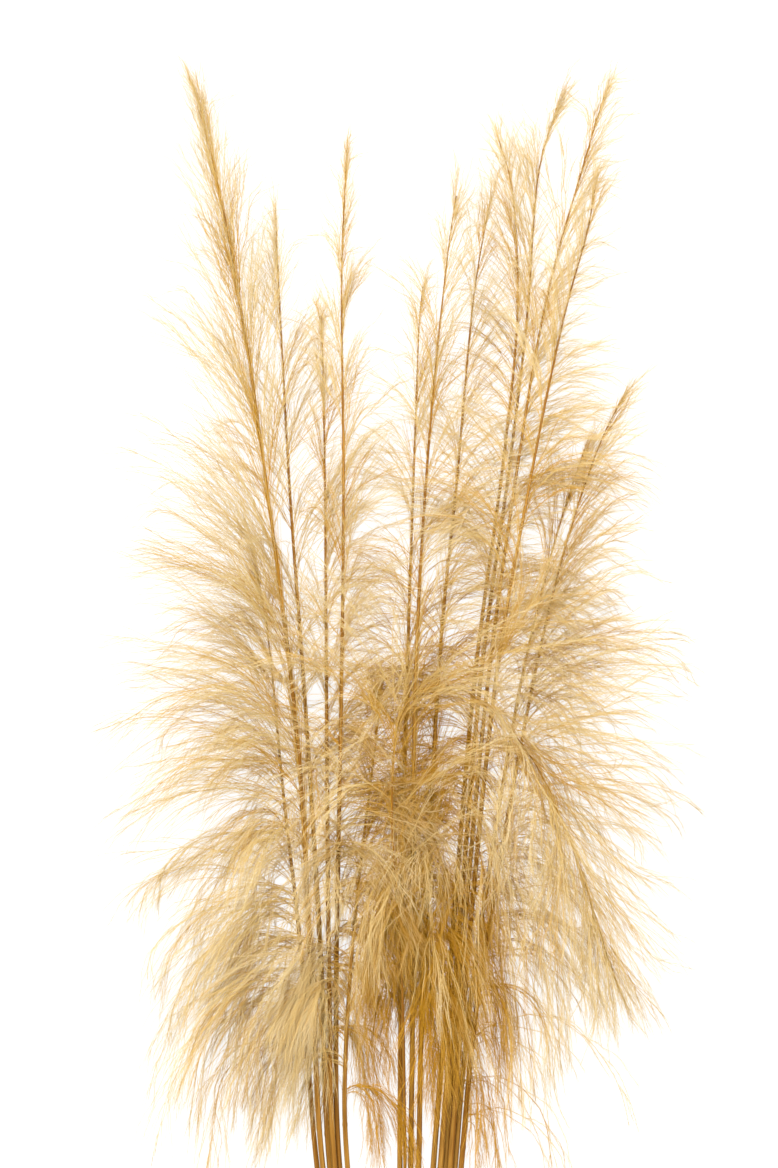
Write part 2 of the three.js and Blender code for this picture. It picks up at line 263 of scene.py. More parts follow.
# %% Measurements of the stems
STEMS = [
    dict(
        path=[(-84, 240, 7), (-100, 458, 16), (-116, 602, 24), (-131, 760, 30), (-143, 838, 34)],
        plume=500, count=22, reach=330, left=0.8, droop=1.1,
    ),
    dict(
        path=[(-78, 240, 14), (-88, 420, 34), (-102, 666, 62), (-131, 908, 66),
              (-163, 1124, 50), (-196, 1285, 34), (-206, 1318, 30)],
        plume=950, count=56, reach=410, left=0.82, droop=1.0, quick=1.0, late=2.2,
    ),
    dict(
        path=[(-71, 240, 7), (-80, 456, 17), (-96, 717, 30), (-110, 910, 34), (-121, 1110, 30),
              (-125, 1198, 27)],
        plume=825, count=28, reach=260, left=0.72, droop=1.0,
    ),
    dict(
        path=[(-66, 240, 13), (-71, 420, 30), (-73, 653, 46), (-75, 920, 50), (-78, 1067, 44),
              (-82, 1096, 41)],
        plume=740, count=26, reach=190, left=0.45, droop=0.9,
    ),
    dict(
        path=[(-61, 240, 7), (-64, 420, 20), (-59, 680, 72), (-56, 916, 84), (-58, 1123, 76),
              (-53, 1256, 67)],
        plume=865, count=30, reach=190, left=0.5, droop=0.8,
    ),
    dict(
        path=[(-53, 240, 13), (-54, 365, 26), (-42, 520, 40), (-24, 668, 44), (-19, 716, 41)],
        plume=420, count=18, reach=230, left=0.65, droop=1.1,
    ),
    dict(
        path=[(0, 240, 7), (2, 508, 20), (8, 760, 32), (14, 940, 36), (19, 1080, 32),
              (23, 1122, 29)],
        plume=730, count=24, reach=220, left=0.45, droop=1.1,
    ),
    dict(
        path=[(5, 240, 16), (2, 420, 46), (-8, 590, 86), (-2, 685, 99), (26, 722, 104),
              (76, 712, 105), (130, 652, 102), (172, 560, 96), (210, 440, 86)],
        plume=600, count=38, reach=235, left=0.4, droop=0.2, quick=4.0, taper=0.45,
    ),
    dict(
        path=[(11, 240, 7), (13, 420, 26), (15, 720, 74), (28, 958, 88), (46, 1140, 76),
              (56, 1210, 69)],
        plume=825, count=30, reach=265, left=0.5, droop=1.1,
    ),
    dict(
        path=[(19, 240, 13), (23, 420, 28), (39, 740, 46), (56, 920, 56), (73, 1105, 52),
              (90, 1207, 46)],
        plume=800, count=28, reach=265, left=0.5, droop=1.05,
    ),
    dict(
        path=[(34, 240, 7), (49, 420, 18), (74, 720, 31), (102, 938, 54), (117, 1090, 54),
              (113, 1210, 49), (99, 1268, 44)],
        plume=860, count=29, reach=265, left=0.6, droop=0.9,
    ),
    dict(
        path=[(41, 240, 13), (55, 420, 29), (80, 720, 36), (109, 938, 44), (127, 1090, 44),
              (138, 1230, 40), (159, 1308, 36)],
        plume=890, count=29, reach=260, left=0.5, droop=1.0,
    ),
    dict(
        path=[(46, 240, 7), (60, 420, 17), (87, 720, 54), (121, 970, 82), (146, 1110, 84),
              (177, 1223, 74), (203, 1309, 66)],
        plume=900, count=31, reach=250, left=0.35, droop=1.05,
    ),
    dict(
        path=[(51, 240, 13), (65, 420, 30), (94, 720, 74), (129, 930, 108), (160, 1080, 100),
              (184, 1168, 90), (193, 1214, 85)],
        plume=830, count=24, reach=270, left=0.5, droop=1.1,
    ),
    dict(
        path=[(56, 240, 7), (73, 420, 18), (114, 688, 40), (148, 842, 54), (171, 920, 54),
              (184, 958, 52)],
        plume=680, count=22, reach=300, left=0.2, droop=1.0,
    ),
    dict(
        path=[(62, 240, 13), (80, 420, 26), (124, 680, 48), (159, 842, 70), (193, 950, 82),
              (217, 1003, 84)],
        plume=760, count=21, reach=300, left=0.15, droop=1.0,
    ),
]
print("stems:", len(STEMS), "with", sum(row["count"] for row in STEMS), "main branches")

# %% [markdown]
# ## How plumes differ in their hair
#
# The left plumes are full at the foot and bare near their tips, those on the right hang loosely,
# and one nods over in front of the rest. The same rules grow them all, so the differences are a
# few factors for each plume. The plainest look comes first, then looks that several plumes share,
# and then what is different for each plume in turn. The cells below use them:
#
# - tip_opening, hanging and late_opening bend the branches that join the main ones: near the tip,
#   further down, and before they open at all;
# - tip_hair and foot_reach are factors on their lengths, and below bare_from none grow;
# - side_branches and foot_branches set how many side branches there are;
# - strand_ values are for the short strands along the rachis, which is the culm inside the plume;
# - faces is the plume's share of the scene's faces, and the last factor how much painted shade browns
#   the hair deep inside.

# %% Looks of the plumes
PLAIN_LOOK = dict(
    tip_opening=1, hanging=1, late_opening=0,
    tip_hair=1, foot_reach=1, bare_from=1,
    side_branches=1, foot_branches=0,
    strand_spacing=10, strand_length=1, strand_crowding=1, strand_opening=1,
    faces=1, painted_depth_shade=1,
)
SPARSE_LEFT = dict(tip_opening=0.5, tip_hair=0.5, side_branches=0.8, foot_branches=4.0)
DENSE_RACHIS = dict(
    strand_spacing=3.0, strand_length=1.5, strand_crowding=0.35, strand_opening=3.0
)
MIDDLE = dict(tip_opening=0.75, side_branches=0.85, foot_branches=1.6, **DENSE_RACHIS)
LOOSE_RIGHT = dict(tip_opening=0.7, hanging=1.3, side_branches=0.55, faces=0.75)
SHORT_RIGHT = dict(
    tip_opening=0.8, hanging=1.4, foot_reach=0.5, side_branches=0.55, foot_branches=-0.4, faces=0.7
)
OWN_LOOKS = [
    dict(foot_reach=0.6, foot_branches=0.4),
    dict(
        tip_opening=0.5, foot_reach=0.6, side_branches=1.1, foot_branches=0.4, faces=1.62,
        strand_spacing=2.0, strand_length=2.0, strand_opening=0.8,
    ),
    dict(tip_opening=0.6, tip_hair=0.6, foot_reach=0.8, foot_branches=1.6),
    SPARSE_LEFT,
    SPARSE_LEFT,
    dict(foot_branches=2.0),
    dict(tip_opening=0.7, tip_hair=0.7, foot_branches=4.0, **DENSE_RACHIS),
    dict(
        tip_opening=1.6, late_opening=0.6, tip_hair=1.6, bare_from=0.75, side_branches=0.75,
        strand_opening=2.0, painted_depth_shade=0,
    ),
    MIDDLE,
    MIDDLE,
    dict(tip_opening=0.75, hanging=1.25, side_branches=0.8, foot_branches=1.0),
    dict(tip_opening=0.75, hanging=1.25, side_branches=0.55, foot_branches=0.8, faces=0.75),
    LOOSE_RIGHT,
    LOOSE_RIGHT,
    SHORT_RIGHT,
    SHORT_RIGHT,
]
LOOKS = [{**PLAIN_LOOK, **own} for own in OWN_LOOKS]
print("plumes with a look of their own:", sum(look != PLAIN_LOOK for look in LOOKS))

# %% [markdown]
# ## Drawing numbers
#
# No two branches are alike, but the scene has to come out the same each time. So each number is
# worked out from the seed and from whole numbers that say what it is for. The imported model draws
# its numbers in the same way, and so its branches come out here where they are there.

# %% Drawing numbers
SEED = 20260
MIXERS = (np.uint32(0x9E3779B1), np.uint32(0x85EBCA77))
SHIFTS = (np.uint32(15), np.uint32(13))


def draw(*keys):
    """Numbers from 0 to 1 that depend only on the seed and on whole numbers or arrays of them."""
    mixed = np.array([SEED], np.uint32)
    for key in keys:
        mixed = mixed ^ np.asarray(key, np.uint32)
        for mixer, shift in zip(MIXERS, SHIFTS):
            mixed = mixed * mixer
            mixed = mixed ^ (mixed >> shift)
    return mixed / 2.0**32


def vary(spread, *keys):
    """Factors around 1, at most `spread` more or less."""
    return 1 + spread * (2 * draw(*keys) - 1)


print("first draws:", np.round(draw(np.arange(4), 0), 3))

# %% [markdown]
# ## Shares
#
# Most values change along a plume or along a branch. A share from 0 to 1 says how far along a
# place is, and these helpers turn a share into a value, a value into a share, or a steady share
# into one that is quick at first.


# %% Shares
def between(pair, share):
    """The value at a share of the way from the first of a pair to the second."""
    return pair[0] + (pair[1] - pair[0]) * share


def share_between(pair, value):
    """How far a value is on the way from the first of a pair to the second, from 0 to 1."""
    return np.clip((value - pair[0]) / (pair[1] - pair[0]), 0, 1)


def quick_at_first(share, rate):
    """How much of a change is done by a share of the way, when it is quick at first."""
    return 1 - np.exp(-rate * share)


def unit(vectors):
    """The same directions with a length of 1."""
    return vectors / np.linalg.norm(vectors, axis=-1, keepdims=True)


print("done by half way, at a rate of 2:", round(float(quick_at_first(0.5, 2)), 3))

# %% [markdown]
# ## The line of a stem
#
# A culm lies straight in the gathered end and then bends gently. A Catmull-Rom curve is right for
# that, because it goes through every measured point. It is cut into steps of a few millimetres.
# The gathered culms lie in two rows: the upper ones rest in the grooves between the lower ones.

# %% Lines of the stems
CULM_RADIUS = 3.1
CULM_TIP_RADIUS = 0.5
CULM_TAPER = 1.5
CUT_Y = -60
CUT_SPREAD = 20
LIFT_Y = 30
CUT_PITCH = 4.2
GROOVE_GAP = 0.3
MIDDLE_STEM = 6
LEFT_GROUP = 6
LEFT_GROUP_SHIFT = 14
AXIS_STEP = 9
FLAT_HEIGHT = CULM_RADIUS * math.cos(math.pi / 6)


def gathered_stretch(stem, neck):
    """The two ends of the straight stretch in the gathered end, in two rows of culms."""
    rise = 0 if stem % 2 == 0 else math.sqrt((2 * CULM_RADIUS + GROOVE_GAP) ** 2 - CUT_PITCH**2)
    x = (stem - MIDDLE_STEM) * CUT_PITCH - (LEFT_GROUP_SHIFT if stem < LEFT_GROUP else 0)
    cut = np.array([x, CUT_Y, FLAT_HEIGHT + rise])
    lift = cut + (neck - cut) * (LIFT_Y - CUT_Y) / (neck[1] - CUT_Y)
    lift[2] = cut[2]
    cut = cut + (lift - cut) * CUT_SPREAD * draw(stem, 0) / (LIFT_Y - CUT_Y)
    return cut, lift


def stem_line(stem):
    """Points along a stem from its cut end to its tip, and how far along each of them is."""
    path = np.array(STEMS[stem]["path"], float)
    cut, lift = gathered_stretch(stem, path[0])
    knots = np.vstack([cut, lift, path])
    padded = np.vstack([2 * knots[0] - knots[1], knots, 2 * knots[-1] - knots[-2]])
    straight_steps = max(1, round((LIFT_Y - cut[1]) / AXIS_STEP))
    line = [cut + (lift - cut) * i / straight_steps for i in range(straight_steps + 1)]
    for i in range(1, len(knots) - 1):
        a, b, c, d = padded[i : i + 4]
        steps = max(2, round(np.linalg.norm(c - b) / AXIS_STEP))
        for step in range(1, steps + 1):
            t = step / steps
            bend = (2 * a - 5 * b + 4 * c - d) * t**2 + (3 * (b - c) + d - a) * t**3
            line.append(0.5 * (2 * b + (c - a) * t + bend))
    line = np.array(line)
    hops = np.linalg.norm(np.diff(line, axis=0), axis=1)
    return line, np.concatenate([[0], np.cumsum(hops)])


def along_line(line, distances, goal):
    """The points of a line at given distances along it."""
    return np.stack([np.interp(goal, distances, line[:, axis]) for axis in range(3)], axis=-1)


lines = [stem_line(stem) for stem in range(len(STEMS))]
print("stem lengths, mm:", [round(float(distances[-1])) for _, distances in lines])

# %% [markdown]
# ## Where branches grow
#
# A plume has a main branch every few centimetres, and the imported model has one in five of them.
# Here four companions grow beside each of those, in a loose whorl, which makes a stream of hair.
# Each whorl is on the left or the right of the rachis, and lifts off the floor or sinks below the
# rachis by an angle of its own. A companion draws its numbers under a key of its own, so that the
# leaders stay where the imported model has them.

# %% Places of the branches
COMPANIONS = 5
COMPANION_KEYS = 1000
WHORL_SPREAD = (1.8, 0.55)
NEAREST_TIP = 0.1
CROWDING = 1.12
LIFT = (-50, 92)
STEEPEST_LIFT = (-77, 100)
COMPANION_LIFT_SPREAD = 80
COMPANION_LIFT = 62


def is_leader(number):
    """Whether branches, numbered from the tip down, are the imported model's own."""
    return number % COMPANIONS == COMPANIONS // 2


def branch_places(stem):
    """Every branch's whorl, whether it leads, its key, how low it grows, its side and its lift."""
    count = STEMS[stem]["count"]
    number = np.arange(count * COMPANIONS)
    whorl = number // COMPANIONS
    leads = is_leader(number)
    key = np.where(leads, whorl, number + COMPANION_KEYS)
    spread = between(WHORL_SPREAD, whorl / count)
    apart = np.where(leads, 0, spread) * (draw(stem, key, 7) - 0.5)
    low = (np.maximum(whorl + 0.5 + apart, NEAREST_TIP) / count) ** CROWDING
    side = np.where(draw(stem, whorl, 1) < STEMS[stem]["left"], -1, 1)
    aim = np.where(leads, 0, COMPANION_LIFT_SPREAD) * (draw(stem, key, 3) - 0.5)
    lift = between(LIFT, draw(stem, whorl, 2)) + aim
    lift = np.clip(lift, STEEPEST_LIFT[0], np.where(leads, STEEPEST_LIFT[1], COMPANION_LIFT))
    return whorl, leads, key, low, side, np.radians(lift)


print("branches of the longest plume:", len(branch_places(1)[0]))

# %% [markdown]
# ## How long branches are
#
# Branches are shortest at the tip, grow longer quickly at first and then slowly, and get a little
# shorter again at the foot. Right at the tip, companions keep a few centimetres of length, or the
# spire would look clipped.

# %% Lengths of the branches
REACH_SHARE = (0.07, 1.04)
REACH_RATE = 1.35
LENGTH_VARIATION = 0.25
COMPANION_REACH = (0.5, 1.06)
FOOT = (0.72, 1)
FOOT_SHORTER = 0.2
TIP_HAIR = 32
TIP_HAIR_GROWTH = 0.5
TIP_HAIR_MOST = 85
TIP_HAIR_VARIATION = (0.35, 1.3)


def branch_lengths(stem, whorl, leads, key, low, from_tip):
    """The length of every branch, from how low it grows and how far that is from the tip."""
    look = LOOKS[stem]
    foot = share_between(FOOT, low)
    growth = quick_at_first(low, STEMS[stem].get("quick", REACH_RATE))
    length = STEMS[stem]["reach"] * between(REACH_SHARE, growth)
    length = length * (1 - FOOT_SHORTER * foot)
    length = length * vary(LENGTH_VARIATION, stem, whorl, 8)
    own_reach = between(COMPANION_REACH, draw(stem, key, 9))
    own_reach = own_reach * between((1, look["foot_reach"]), foot)
    length = length * np.where(leads, 1, own_reach)
    tip_hair = np.minimum(TIP_HAIR + TIP_HAIR_GROWTH * from_tip, TIP_HAIR_MOST)
    tip_hair = tip_hair * between(TIP_HAIR_VARIATION, draw(stem, key, 14) ** 2)
    tip_hair = tip_hair * look["tip_hair"]
    return np.where(leads, length, np.maximum(length, tip_hair))


print("tip hair at most:", TIP_HAIR_MOST * TIP_HAIR_VARIATION[1], "mm")

# %% [markdown]
# ## How branches bend
#
# A branch leaves the rachis nearly along it, opens outwards and then droops back towards the cut
# ends: a little near the tip, and a great deal further down. Dry branches are never smooth. A slow
# wave, a small kink at each step and, on one branch in five above the foot, a hook at the end
# break the curve.

# %% Bends of the branches
BRANCH_STEPS = 14
OPENING = (4, 58)
OPENING_RATE = 1.3
SAG = (3, 135)
SAG_POWER = 1.05
COMPANION_SAG = 1.15
ANGLE_VARIATION = 0.3
TIP_FADES = (0.5, 0.9)
HANGING_GROWS = (0.2, 0.5)
EARLY_SAG = (0.1, 0.8)
SOON = 0.02
WAVE = 0.06
WAVES = (0.8, 2.4)
SWAYS = 0.8
BRANCH_KINK = 0.24
HOOKED_SHARE = 0.2
HOOKED_ABOVE = 0.75
HOOK_TURN = (0.4, 1.2)
HOOK_PLACE = (0.8, 1)
STRAIGHT_DOWN = math.radians(168)
FULL_TURN = 2 * math.pi


def opening_and_sag(stem, leads, key, low):
    """How far every branch opens from the rachis, and how much further it droops, in radians."""
    look = LOOKS[stem]
    opening = between(OPENING, quick_at_first(low, OPENING_RATE))
    opening = np.radians(opening * vary(ANGLE_VARIATION, stem, key, 4))
    sag = between(SAG, low ** STEMS[stem].get("late", SAG_POWER))
    sag = np.radians(sag) * STEMS[stem]["droop"]
    sag = sag * vary(ANGLE_VARIATION, stem, key, 6) * np.where(leads, 1, COMPANION_SAG)
    near_tip = between((look["tip_opening"], 1), share_between(TIP_FADES, low))
    hanging = between((1, look["hanging"]), share_between(HANGING_GROWS, low))
    return opening * np.where(leads, 1, near_tip), sag * np.where(leads, 1, near_tip * hanging)


def branch_angles(stem, leads, key, low):
    """The angle of every branch from the rachis at each step, and its sway across that."""
    opening, sag = opening_and_sag(stem, leads, key, low)
    share = (np.arange(BRANCH_STEPS) + 0.5) / BRANCH_STEPS
    late = np.where(leads, 0, LOOKS[stem]["late_opening"] * draw(stem, key, 15))[:, None]
    opened = np.clip((share + SOON) / (late + SOON), 0, 1)
    early = between(EARLY_SAG, low)[:, None]
    sagged = (1 + early) * share - early * share**2
    angle = opening[:, None] * opened + sag[:, None] * sagged
    turns = between(WAVES, draw(stem, key, 10))[:, None]
    start = FULL_TURN * draw(stem, key, 11)[:, None]
    angle += WAVE * np.sin(FULL_TURN * turns * share + start)
    step = np.arange(BRANCH_STEPS)[None, :]
    angle += BRANCH_KINK * (draw(stem, key[:, None], step, 16) - 0.5)
    hooked = draw(stem, key, 12) < np.where(low < HOOKED_ABOVE, HOOKED_SHARE, 0)
    hook = np.where(hooked, between(HOOK_TURN, draw(stem, key, 13)), 0)[:, None]
    angle += hook * share_between(HOOK_PLACE, share)
    sway = WAVE * np.sin(FULL_TURN * turns * SWAYS * share + 2 * start)
    return np.minimum(angle, STRAIGHT_DOWN), sway


print("a branch opens by", OPENING, "and droops by up to", SAG, "degrees")

# %% [markdown]
# ## The lines of the branches
#
# A branch is walked step by step. Each step goes along the rachis by the cosine of the angle and
# outwards by its sine, so the branch bends in a plane of its own. That plane is pressed towards
# the floor, because the bundle lies flat.

# %% Lines of the branches
BARE_TIP = 4
RACHIS_LOOK = 5
FLATTEN_ABOVE = 0.5
FLATTEN_BELOW = 0.3


def branch_lines(stem):
    """Points of every branch of a plume, its length, and how far down the plume it grows."""
    line, distances = lines[stem]
    whorl, leads, key, low, side, lift = branch_places(stem)
    root_distance = distances[-1] - BARE_TIP - (STEMS[stem]["plume"] - BARE_TIP) * low
    length = branch_lengths(stem, whorl, leads, key, low, distances[-1] - root_distance)
    angle, sway = branch_angles(stem, leads, key, low)

    root = along_line(line, distances, root_distance)
    ahead = along_line(line, distances, root_distance + RACHIS_LOOK)
    behind = along_line(line, distances, root_distance - RACHIS_LOOK)
    along = unit(ahead - behind)
    beside = unit(np.stack([along[:, 1], -along[:, 0], 0 * side], axis=-1)) * side[:, None]
    outward = beside * np.cos(lift)[:, None]
    outward[:, 2] = np.where(lift > 0, FLATTEN_ABOVE, FLATTEN_BELOW) * np.sin(lift)
    across = unit(np.cross(along, outward))

    hops = along[:, None] * np.cos(angle)[..., None] + outward[:, None] * np.sin(angle)[..., None]
    hops = hops + across[:, None] * sway[..., None]
    hops = hops * length[:, None, None] / BRANCH_STEPS
    points = np.concatenate([root[:, None], root[:, None] + np.cumsum(hops, axis=1)], axis=1)
    return points, length, low


points, length, low = branch_lines(1)
print("its branches are", round(length.min()), "to", round(length.max()), "mm long")

# %% [markdown]
# ## Strands along the rachis
#
# Close to the rachis the hair is thickest, and runs almost along it. Short strands, one every few
# millimetres, start from the rachis on all sides and lean away from it only a little. They are
# shorter near the tip, where the last of them run on past its end. On the middle stems they crowd
# towards the foot, which hides the culms there.

# %% Strands along the rachis
STRAND_STEPS = 3
STRAND_LENGTH = (26, 74)
STRAND_TIP_LENGTH = 0.5
STRAND_OPENING = (0.03, 0.2)
STRAND_TIP_OPENING = 0.3
STRAND_CURVE = 1.3
STRANDS_ABOVE = 2
STRANDS_BELOW = 30
PAST_TIP = 30


def rachis_strands(stem):
    """Points of the short strands along the rachis of a plume."""
    line, distances = lines[stem]
    plume = STEMS[stem]["plume"]
    look = LOOKS[stem]
    count = round(plume / look["strand_spacing"])
    key = np.arange(count)
    low = ((key + 0.5) / count) ** look["strand_crowding"]
    start = distances[-1] - STRANDS_ABOVE - (plume + STRANDS_BELOW) * low
    length = between(STRAND_LENGTH, draw(stem, key, 50)) * between((STRAND_TIP_LENGTH, 1), low)
    length = length * look["strand_length"]
    length = np.minimum(length, distances[-1] - start + PAST_TIP * draw(stem, key, 53))
    turn = FULL_TURN * draw(stem, key, 51)
    opening = between(STRAND_OPENING, draw(stem, key, 52)) * between((STRAND_TIP_OPENING, 1), low)
    opening = opening * look["strand_opening"]
    away = np.stack([np.cos(turn), 0 * turn, np.sin(turn)], axis=-1) * opening[:, None]
    tip_direction = unit(line[-1] - line[-4])
    rows = []
    for step in range(STRAND_STEPS + 1):
        share = step / STRAND_STEPS
        base = along_line(line, distances, start + length * share)
        beyond = np.maximum(start + length * share - distances[-1], 0)[:, None]
        rows.append(base + beyond * tip_direction + away * (length * share**STRAND_CURVE)[:, None])
    return np.stack(rows, axis=1)


print("strands along the longest rachis:", len(rachis_strands(1)))

# %% [markdown]
# ## Side branches
#
# Each branch carries side branches that leave it at a small angle and then run on beside it. That
# is what makes pampas look silky: they never stray far from the stream that they grow in. So a
# side branch takes its direction from the branch further on, turned a little outwards, with a
# slow wave, a kink at each step and a pull towards the cut ends that grows along it.

# %% Where side branches grow
SIDE_SPACING = 16
FEWEST_SIDES = 3
SIDE_START = (0.1, 0.95)
SIDE_SHARE = (0.3, 0.75)
SIDE_EXTRA = (14, 36)
LONGEST_SIDE = 0.85


def side_places(stem, length, low):
    """The branch that each side branch grows on, its key, where it starts, and its length."""
    look = LOOKS[stem]
    foot = share_between(FOOT, low)
    number_of = length / SIDE_SPACING * (1 + look["foot_branches"] * foot) * look["side_branches"]
    number_of = np.maximum(FEWEST_SIDES, np.round(number_of).astype(int))
    which = np.repeat(np.arange(len(length)), number_of)
    first = np.concatenate([[0], np.cumsum(number_of)[:-1]])
    key = np.arange(len(which))
    start = (key - first[which] + draw(stem, key, 20)) / number_of[which]
    start = between(SIDE_START, start)
    own_length = length[which] * (1 - start) * between(SIDE_SHARE, draw(stem, key, 21))
    own_length = own_length + between(SIDE_EXTRA, draw(stem, key, 22))
    return which, key, start, np.minimum(own_length, LONGEST_SIDE * length[which])


print("side branches of the longest plume:", len(side_places(1, length, low)[0]))

# %% [markdown]
# ## The lines of the side branches
#
# They are walked a step at a time too, all of them at once. At each step the direction of the
# branch beside them is looked up at the same distance further on.

# %% Lines of the side branches
SIDE_STEPS = 7
SIDE_OPENING = (0.1, 0.5)
SIDE_CLOSING = 0.6
SIDE_FLATTEN = 0.6
SIDE_WAVE = 0.10
SIDE_WAVES = (0.7, 1.8)
SIDE_KINK = 0.4
SIDE_PULL = (0.05, 0.7)
UP = np.array([0, 0, 1.0])
TO_CUT_ENDS = np.array([0, -1.0, 0])
TINY = 1e-6


def sample(values, which, share):
    """Values of branches at shares of their length, where values has a row of steps for each."""
    place = np.clip(share, 0, 1) * (values.shape[1] - 1)
    first = np.minimum(place.astype(int), values.shape[1] - 2)
    rest = (place - first)[..., None]
    return values[which, first] * (1 - rest) + values[which, first + 1] * rest


def side_branch_lines(stem, points, length, low):
    """Points of the side branches, the branch that each grows on, and where it starts."""
    which, key, start, own_length = side_places(stem, length, low)
    direction = unit(np.diff(points, axis=1))
    heading = unit(sample(direction, which, start))
    across = unit(np.cross(heading, UP) + TINY)
    over = np.cross(across, heading)
    turn = FULL_TURN * draw(stem, key, 23)[:, None]
    away = across * np.cos(turn) + SIDE_FLATTEN * over * np.sin(turn)
    away = away * between(SIDE_OPENING, draw(stem, key, 24))[:, None]
    pull = between(SIDE_PULL, draw(stem, key, 25))[:, None]
    wave = FULL_TURN * draw(stem, key, 26)[:, None]
    waves = between(SIDE_WAVES, draw(stem, key, 27))[:, None]

    place = sample(points, which, start)
    line = [place]
    for step in range(SIDE_STEPS):
        share = (step + 0.5) / SIDE_STEPS
        onward = sample(direction, which, start + share * own_length / length[which])
        heading = onward + away * (1 - SIDE_CLOSING * share)
        heading = heading + across * SIDE_WAVE * np.sin(wave + FULL_TURN * waves * share)
        heading = heading + across * SIDE_KINK * (draw(stem, key, step, 28)[:, None] - 0.5)
        heading = heading + over * SIDE_KINK * (draw(stem, key, step, 29)[:, None] - 0.5)
        heading = heading + TO_CUT_ENDS * pull * share
        place = place + unit(heading) * own_length[:, None] / SIDE_STEPS
        line.append(place)
    return np.stack(line, axis=1), which, start


side_points, which, start = side_branch_lines(1, points, length, low)
print("points of its side branches:", side_points.shape[0] * side_points.shape[1])

# %% [markdown]
# ## Lying down
#
# What would sink into the floor lies on it instead. A height below the first few millimetres is
# pressed together more and more, so hair keeps its order and never goes through the floor. The
# highest hair settles under its weight in the same way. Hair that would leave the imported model's
# box at the side is drawn in towards its root.

# %% Lying down
SETTLE_HEIGHT = 16
LOWEST_AXIS = 1.4
LOWEST_SIDE_BRANCH = 0.7
HIGH = 145
HIGHEST = 192
SIDE_LIMITS = (-300, 302)
END_LIMITS = (-30, 1380)
LEAST_FIT = 0.2


def laid_height(z, lowest):
    """The height of what lies on the floor instead of sinking below it."""
    room = SETTLE_HEIGHT - lowest
    low = lowest + room * np.exp(np.minimum(z - SETTLE_HEIGHT, 0) / room)
    room = HIGHEST - HIGH
    high = HIGHEST - room * np.exp(np.minimum(HIGH - z, 0) / room)
    return np.where(z < SETTLE_HEIGHT, low, np.where(z > HIGH, high, z))


def laid_down(points, lowest):
    """Lines drawn in to fit the box and laid on the floor."""
    root = points[:, :1]
    reach = points - root
    fit = np.ones(len(points))
    for axis, (least, most) in enumerate((SIDE_LIMITS, END_LIMITS)):
        out = np.maximum(reach[..., axis].max(axis=1), TINY)
        back = np.minimum(reach[..., axis].min(axis=1), -TINY)
        fit = np.minimum(fit, np.maximum(most - root[:, 0, axis], 0) / out)
        fit = np.minimum(fit, np.minimum(least - root[:, 0, axis], 0) / back)
    laid = root + reach * np.maximum(fit, LEAST_FIT)[:, None, None]
    laid[..., 2] = laid_height(laid[..., 2], lowest)
    return laid


print("-40, 0, 16, 240 mm become", laid_height(np.array([-40, 0, 16, 240]), LOWEST_AXIS).round(1))

# %% [markdown]
# ## The colour of the hair
#
# Dry hair is golden where it is thick near the stem and pale further out, with dull ends. Hair
# close to the stem and hair deep in the bundle get painted shade in brown. Some streams are
# browner than others. Every hair has a place on a small map: how far out it is, and a tone of its
# own that its stream shares, and both are lowered for deep hair as painted shade. The colour is
# worked out from that map alone, so that all the faces of a hair have one colour.

# %% Hair colour
HAIR_MAP = "OFBake"
HAIR_GOLD = (0.80, 0.575, 0.14)
HAIR_PALE = (0.87, 0.78, 0.53)
HAIR_BROWN_AND_SHADE = (0.55, 0.268, 0.010)
HAIR_END = (0.46, 0.37, 0.22)
PALE_FURTHER_OUT = 0.75
PALE_BY_TONE = 0.35
BROWN_TONES = (0.45, 0.1)
MOST_BROWN = 0.95
LESS_BROWN_OUT = 0.35
SHADE_NEAR_STEM = (0.32, 0.0)
MOST_SHADE_NEAR_STEM = 0.6
DULL_ENDS = (0.68, 0.95)
MOST_DULL = 0.75

hair_finish, tree, output = new_material("pampas_hair")
map_place = add_node(tree, "ShaderNodeUVMap", {"uv_map": HAIR_MAP})
parts = add_node(tree, "ShaderNodeSeparateXYZ", None, {0: map_place})
outness = parts.named("X")
tone = parts.named("Y")
paleness = outness * PALE_FURTHER_OUT + tone * PALE_BY_TONE
colour = blend_colour(tree, paleness, HAIR_GOLD, HAIR_PALE)
# Brown from the stream's own tone, and painted shade where deep hair has a lowered tone.
brownness_and_shade = smooth_share(tree, tone, *BROWN_TONES, MOST_BROWN) * (1 - LESS_BROWN_OUT * outness)
colour = blend_colour(tree, brownness_and_shade, colour, HAIR_BROWN_AND_SHADE)
# Painted shade: hair close to the stem is made browner.
near_stem_shade = smooth_share(tree, outness, *SHADE_NEAR_STEM, MOST_SHADE_NEAR_STEM)
colour = blend_colour(tree, near_stem_shade, colour, HAIR_BROWN_AND_SHADE)
far_out = smooth_share(tree, outness, *DULL_ENDS, MOST_DULL)
colour = blend_colour(tree, far_out, colour, HAIR_END)
print("nodes that work out the colour:", len(tree.nodes))

# %% [markdown]
# ## Light through the hair
#
# Light from behind reaches the eye through a thin hair. So a plain matt surface is mixed with a
# golden one that only lets light through. Brown hair, also where its brown is painted shade, and
# dull hair let less of it through, which the share between the two says.

# %% Light through the hair
GLOW_GOLD = (0.835, 0.67, 0.30)
SHINES_THROUGH = 0.44
DARK_HOLDS_BACK = 0.6
HAIR_ROUGHNESS = 0.5
HAIR_SHINE = 0.07

surface = add_node(
    tree,
    "ShaderNodeBsdfPrincipled",
    None,
    {"Base Color": colour, "Roughness": HAIR_ROUGHNESS, "Specular IOR Level": HAIR_SHINE},
)
through = add_node(tree, "ShaderNodeBsdfTranslucent", None, {"Color": GLOW_GOLD})
let_through = SHINES_THROUGH * (1 - DARK_HOLDS_BACK * brownness_and_shade)
let_through = let_through * (1 - DARK_HOLDS_BACK * near_stem_shade) * (1 - DARK_HOLDS_BACK * far_out)
mixed = add_node(tree, "ShaderNodeMixShader", None, {0: let_through, 1: surface, 2: through})
tree.links.new(mixed.socket, output.inputs["Surface"])
print("hair finish nodes:", len(tree.nodes))

